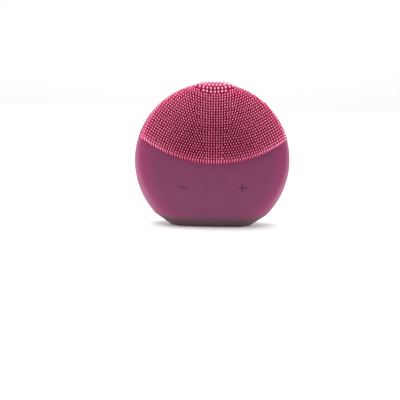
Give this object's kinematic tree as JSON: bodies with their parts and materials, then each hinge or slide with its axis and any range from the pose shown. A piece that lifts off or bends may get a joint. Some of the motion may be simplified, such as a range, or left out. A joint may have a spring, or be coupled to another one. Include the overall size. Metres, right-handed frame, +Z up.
{
  "type": "facial cleansing brush",
  "caption": "Round handheld silicone facial cleansing brush with bristled upper faces, press keys on its smooth lower front, a vibrating motor inside and a flat foot.",
  "frame": {"origin": "middle of the flat foot", "axes": "-Y is the front face with the keys, +X to the right seen from the front, +Z up"},
  "size_m": [0.082, 0.033, 0.076],
  "materials": {
    "skin_silicone": "smooth soft matte silicone, dusty pink",
    "bristle_silicone": "soft silicone touch-points, slightly translucent pink",
    "key_silicone": "smooth soft matte silicone, same pink as the skin",
    "white_plastic": "moulded ABS, fine matte",
    "black_plastic": "moulded black nylon",
    "seal_rubber": "soft grey-black sealing rubber",
    "zinc_steel": "zinc-plated steel",
    "board_green": "glass-fibre board with green solder mask",
    "component_ceramic": "small ceramic parts and coils",
    "lamp_plastic": "moulded lamp, pale yellow",
    "clear_plastic": "clear acrylic",
    "battery_wrap": "aluminium-laminate pouch",
    "foam": "soft closed-cell foam",
    "wire_plastic": "soft wire insulation",
    "magnet_iron": "sintered ferrite magnet",
    "copper_winding": "laminated core with copper windings",
    "brass_weight": "turned brass"
  },
  "bodies": {
    "body": {"silicone_sleeve": "skin_silicone", "fine_bristle_field": "bristle_silicone", "thick_bristle_field": "bristle_silicone", "rear_bristle_field": "bristle_silicone", "power_switch": "black_plastic", "minus_switch": "black_plastic", "plus_switch": "black_plastic", "front_shell": "white_plastic", "rear_shell": "white_plastic", "shell_gasket": "seal_rubber", "shell_screws": "zinc_steel", "circuit_board": "board_green", "board_screws": "zinc_steel", "control_chip": "black_plastic", "board_components": "component_ceramic", "indicator_lamp": "lamp_plastic", "light_guide": "clear_plastic", "battery_cell": "battery_wrap", "battery_pad": "foam", "battery_leads": "wire_plastic", "battery_connector": "white_plastic", "motor_can": "zinc_steel", "motor_end_cap": "black_plastic", "motor_magnets": "magnet_iron", "motor_sleeve": "seal_rubber", "motor_cradle": "white_plastic", "motor_leads": "wire_plastic", "charge_socket": "black_plastic", "socket_seal": "seal_rubber", "charge_leads": "wire_plastic"},
    "power_key": {"power_button": "key_silicone", "power_actuator": "white_plastic", "power_switch_plunger": "black_plastic"},
    "minus_key": {"minus_button": "key_silicone", "minus_actuator": "white_plastic", "minus_switch_plunger": "black_plastic"},
    "plus_key": {"plus_button": "key_silicone", "plus_actuator": "white_plastic", "plus_switch_plunger": "black_plastic"},
    "motor_rotor": {"motor_armature": "copper_winding", "motor_shaft": "zinc_steel", "motor_weight": "brass_weight"}
  },
  "joints": [
    {"name": "power_press", "type": "slide", "parent": "body", "child": "power_key", "axis": [0, 1, 0], "range_m": [0, 0.00035], "stiffness_N_per_m": 2000},
    {"name": "minus_press", "type": "slide", "parent": "body", "child": "minus_key", "axis": [0, 1, 0], "range_m": [0, 0.00035], "stiffness_N_per_m": 2000},
    {"name": "plus_press", "type": "slide", "parent": "body", "child": "plus_key", "axis": [0, 1, 0], "range_m": [0, 0.00035], "stiffness_N_per_m": 2000},
    {"name": "motor_spin", "type": "hinge", "parent": "body", "child": "motor_rotor", "pos_m": [0, 0.0006, 0.0495], "axis": [1, 0, 0], "continuous": true}
  ]
}
